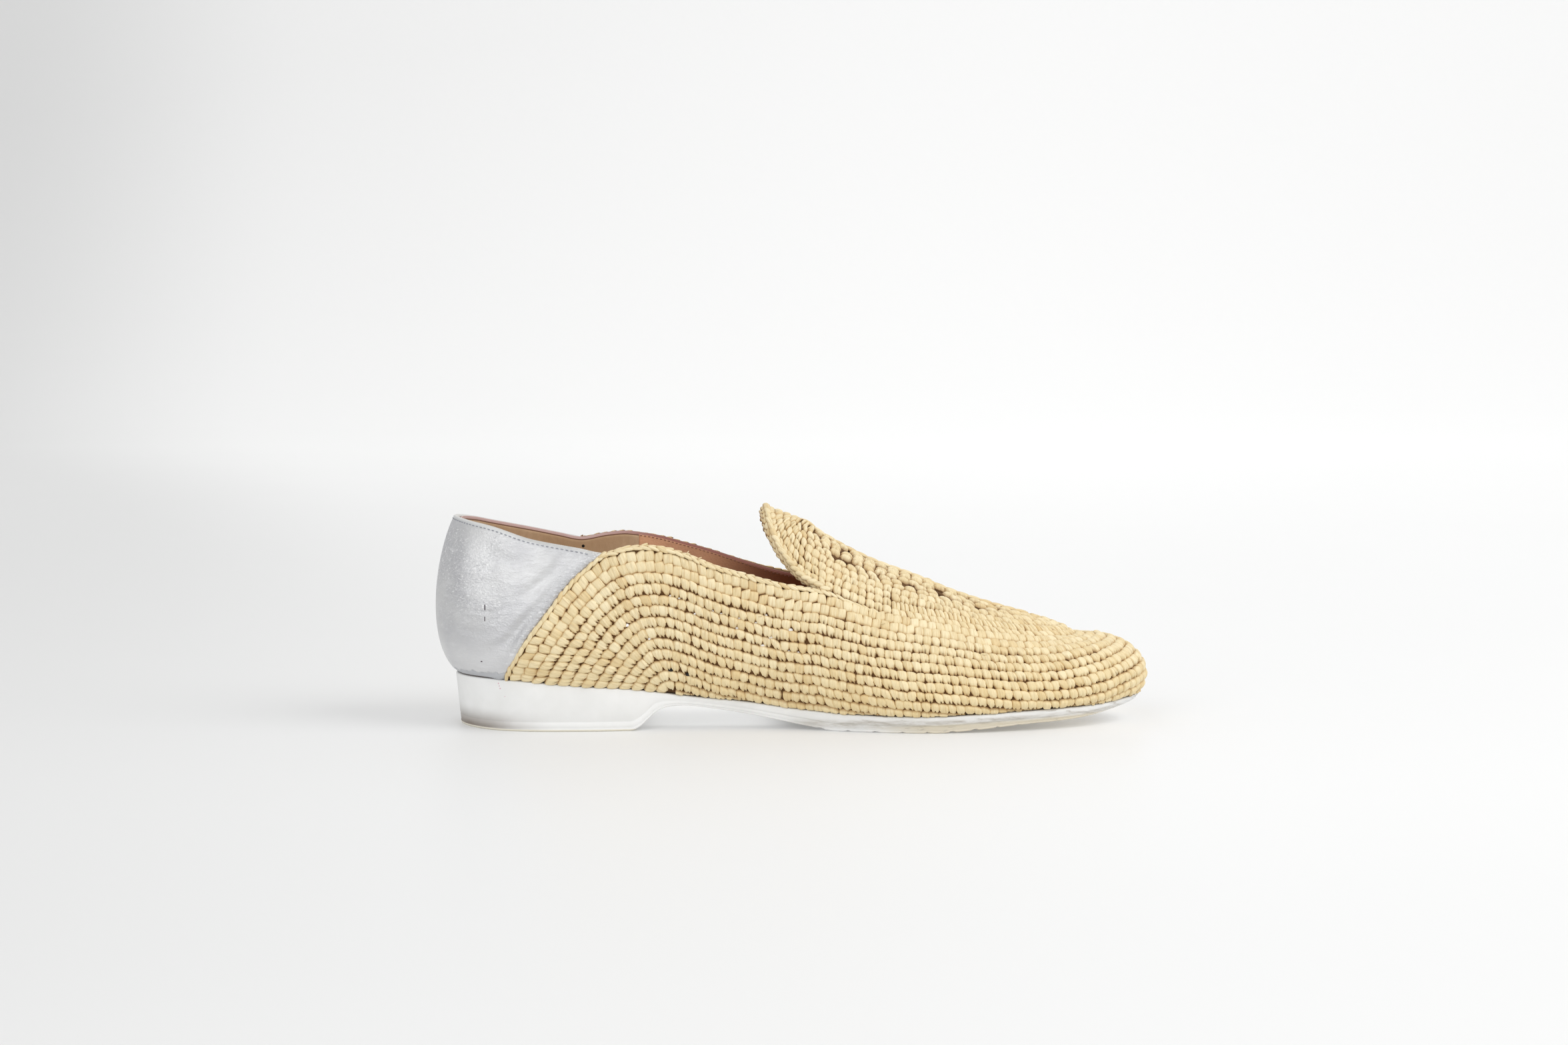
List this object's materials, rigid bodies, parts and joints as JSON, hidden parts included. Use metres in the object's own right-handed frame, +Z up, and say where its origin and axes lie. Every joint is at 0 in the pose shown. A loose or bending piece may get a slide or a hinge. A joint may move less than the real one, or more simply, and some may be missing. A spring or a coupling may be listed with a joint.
{
  "type": "slip-on raffia loafer",
  "caption": "Low-heeled slip-on loafer, a left shoe: crocheted raffia upper with a raised tab, foil leather back and a white moulded rubber sole.",
  "frame": {"origin": "middle of the shoe's box in plan, on the floor that the sole stands on", "axes": "+X from heel to toe, +Y to the outer side of the left foot, +Z up"},
  "size_m": [0.2614, 0.0866, 0.0789],
  "materials": {
    "white_rubber": "satin moulded rubber, slightly dirty at the heel",
    "raffia": "natural straw-coloured raffia, crocheted",
    "foil_leather": "crinkled silver foil on leather",
    "sock_leather": "matt brown lining leather"
  },
  "bodies": {
    "root": {"sole": "white_rubber", "upper": "raffia", "heel_panel": "foil_leather", "insole": "sock_leather"}
  },
  "joints": []
}
